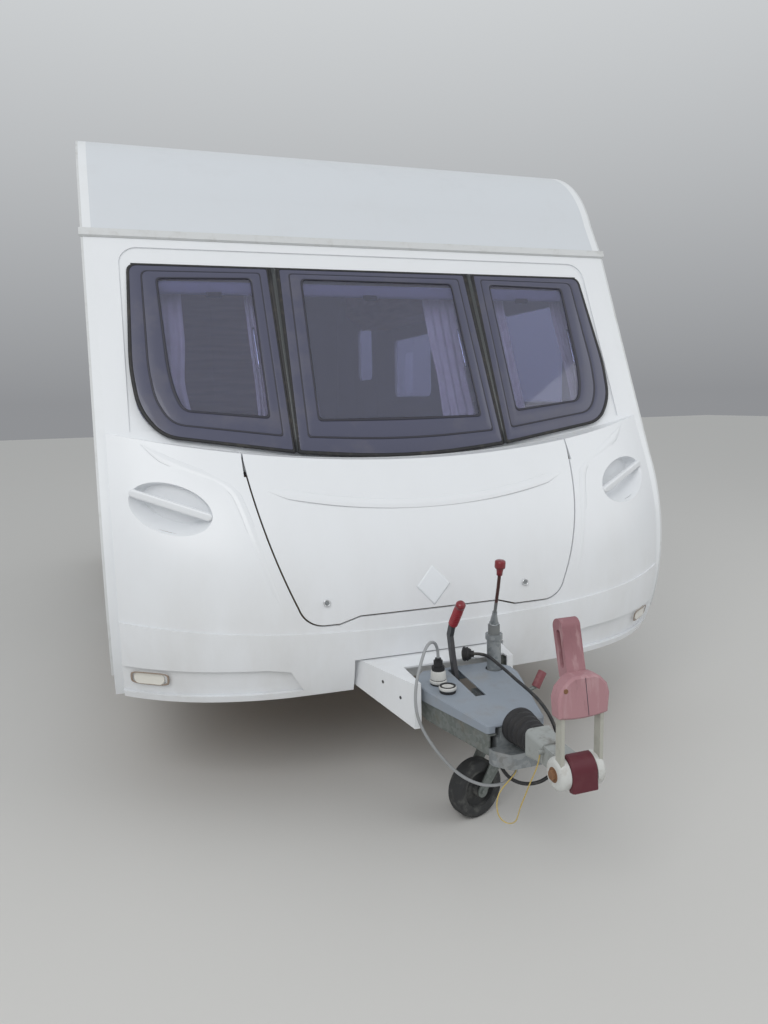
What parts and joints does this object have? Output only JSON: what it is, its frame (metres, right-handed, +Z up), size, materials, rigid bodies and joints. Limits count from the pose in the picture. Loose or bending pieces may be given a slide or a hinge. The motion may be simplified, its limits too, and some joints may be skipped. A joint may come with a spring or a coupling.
{
  "type": "touring caravan",
  "caption": "White touring caravan with bowed front windows, front gas locker lid, A-frame drawbar, jockey wheel and stabiliser coupling.",
  "frame": {"origin": "on the ground, under the middle of the caravan's whole length and width", "axes": "+X to the door side, +Y to the rear, +Z up"},
  "size_m": [2.256, 6.121, 2.592],
  "materials": {
    "white_grp": "glossy cool white moulding",
    "white_wall": "white skin on a sandwich board",
    "window": "tinted acrylic",
    "lamp": "clear lens",
    "rear_lamp": "red lens",
    "trim": "off-white",
    "galvanised": "dull zinc grey",
    "wheel_paint": "silver paint",
    "tyre": "black",
    "grey_plastic": "blue-grey moulding",
    "rubber": "black",
    "cheek": "cream paint",
    "red_plastic": "faded red",
    "plug_plastic": "grey and black",
    "plywood": "light wood grain",
    "upholstery": "woven",
    "grey_sheath": "grey sheath",
    "black_sheath": "black sheath",
    "yellow_sheath": "faded yellow sheath"
  },
  "bodies": {
    "caravan": {"front_panel": "white_grp", "front_bumper": "white_grp", "rear_bumper": "white_grp", "fairing": "white_grp", "side_near": "white_wall", "side_far": "white_wall", "roof": "white_wall", "front_upper": "white_wall", "rear_panel": "white_wall", "front_windows": "window", "cabin_windows": "window", "roof_lights": "window", "marker_lamps": "lamp", "rear_lamps": "rear_lamp", "body_trims": "trim", "grab_handles": "trim", "chassis": "galvanised", "drawbar": "galvanised", "axle": "galvanised", "overrun": "galvanised", "coupling_head": "galvanised", "jockey_tube": "galvanised", "jockey_crank": "galvanised", "jockey_clamp": "galvanised", "handbrake": "galvanised", "hitch_cover": "grey_plastic", "bellows": "rubber", "cheeks": "cheek", "handle_arms": "cheek", "soft_dock": "red_plastic", "stabiliser_grip": "red_plastic", "sockets": "plug_plastic", "plugs": "plug_plastic", "floor": "plywood", "wheel_boxes": "plywood", "lounge_furniture": "plywood", "kitchen_furniture": "plywood", "cushions": "upholstery", "curtains": "upholstery", "grey_cable": "grey_sheath", "black_cable": "black_sheath", "breakaway_cable": "yellow_sheath"},
    "wheel_left": {"tyre_left": "tyre", "wheel_left": "wheel_paint"},
    "wheel_right": {"tyre_right": "tyre", "wheel_right": "wheel_paint"},
    "jockey_leg": {"jockey_leg": "galvanised"},
    "jockey_fork": {"jockey_fork": "galvanised"},
    "jockey_wheel": {"jockey_wheel": "rubber"},
    "locker_lid": {"locker_lid": "white_grp"},
    "door": {"door": "white_wall", "door_window": "window", "door_handle": "trim"},
    "battery_hatch": {"battery_hatch": "white_wall"},
    "cassette_hatch": {"cassette_hatch": "white_wall"},
    "steady_front_left": {"steady_front_left": "galvanised"},
    "steady_front_right": {"steady_front_right": "galvanised"},
    "steady_rear_left": {"steady_rear_left": "galvanised"},
    "steady_rear_right": {"steady_rear_right": "galvanised"}
  },
  "joints": [
    {"name": "wheel_left_spin", "type": "hinge", "parent": "caravan", "child": "wheel_left", "pos_m": [-0.985, 0.8405, 0.318], "axis": [1, 0, 0], "continuous": true},
    {"name": "wheel_right_spin", "type": "hinge", "parent": "caravan", "child": "wheel_right", "pos_m": [0.985, 0.8405, 0.318], "axis": [1, 0, 0], "continuous": true},
    {"name": "jockey_lift", "type": "slide", "parent": "caravan", "child": "jockey_leg", "axis": [0, 0, 1], "range_m": [-0.08, 0.09]},
    {"name": "jockey_swivel", "type": "hinge", "parent": "jockey_leg", "child": "jockey_fork", "pos_m": [0.117, -2.3325, 0.226], "axis": [0, 0, 1], "continuous": true},
    {"name": "jockey_spin", "type": "hinge", "parent": "jockey_fork", "child": "jockey_wheel", "pos_m": [0.031, -2.3565, 0.1], "axis": [0.2688, -0.9632, 0], "continuous": true},
    {"name": "locker_lid_hinge", "type": "hinge", "parent": "caravan", "child": "locker_lid", "pos_m": [0, -1.8865, 1.262], "axis": [-1, 0, 0], "range_deg": [0, 80]},
    {"name": "door_hinge", "type": "hinge", "parent": "caravan", "child": "door", "pos_m": [1.118, 1.7235, 1.355], "axis": [0, 0, -1], "range_deg": [0, 160]},
    {"name": "battery_hatch_hinge", "type": "hinge", "parent": "caravan", "child": "battery_hatch", "pos_m": [-1.118, -0.1795, 0.797], "axis": [0, 1, 0], "range_deg": [0, 100]},
    {"name": "cassette_hatch_hinge", "type": "hinge", "parent": "caravan", "child": "cassette_hatch", "pos_m": [-1.118, 2.4305, 0.857], "axis": [0, 1, 0], "range_deg": [0, 100]},
    {"name": "steady_front_left_hinge", "type": "hinge", "parent": "caravan", "child": "steady_front_left", "pos_m": [-0.85, -1.5095, 0.372], "axis": [-1, 0, 0], "range_deg": [0, 55]},
    {"name": "steady_front_right_hinge", "type": "hinge", "parent": "caravan", "child": "steady_front_right", "pos_m": [0.85, -1.5095, 0.372], "axis": [-1, 0, 0], "range_deg": [0, 55]},
    {"name": "steady_rear_left_hinge", "type": "hinge", "parent": "caravan", "child": "steady_rear_left", "pos_m": [-0.85, 2.7805, 0.372], "axis": [1, 0, 0], "range_deg": [0, 55]},
    {"name": "steady_rear_right_hinge", "type": "hinge", "parent": "caravan", "child": "steady_rear_right", "pos_m": [0.85, 2.7805, 0.372], "axis": [1, 0, 0], "range_deg": [0, 55]}
  ]
}
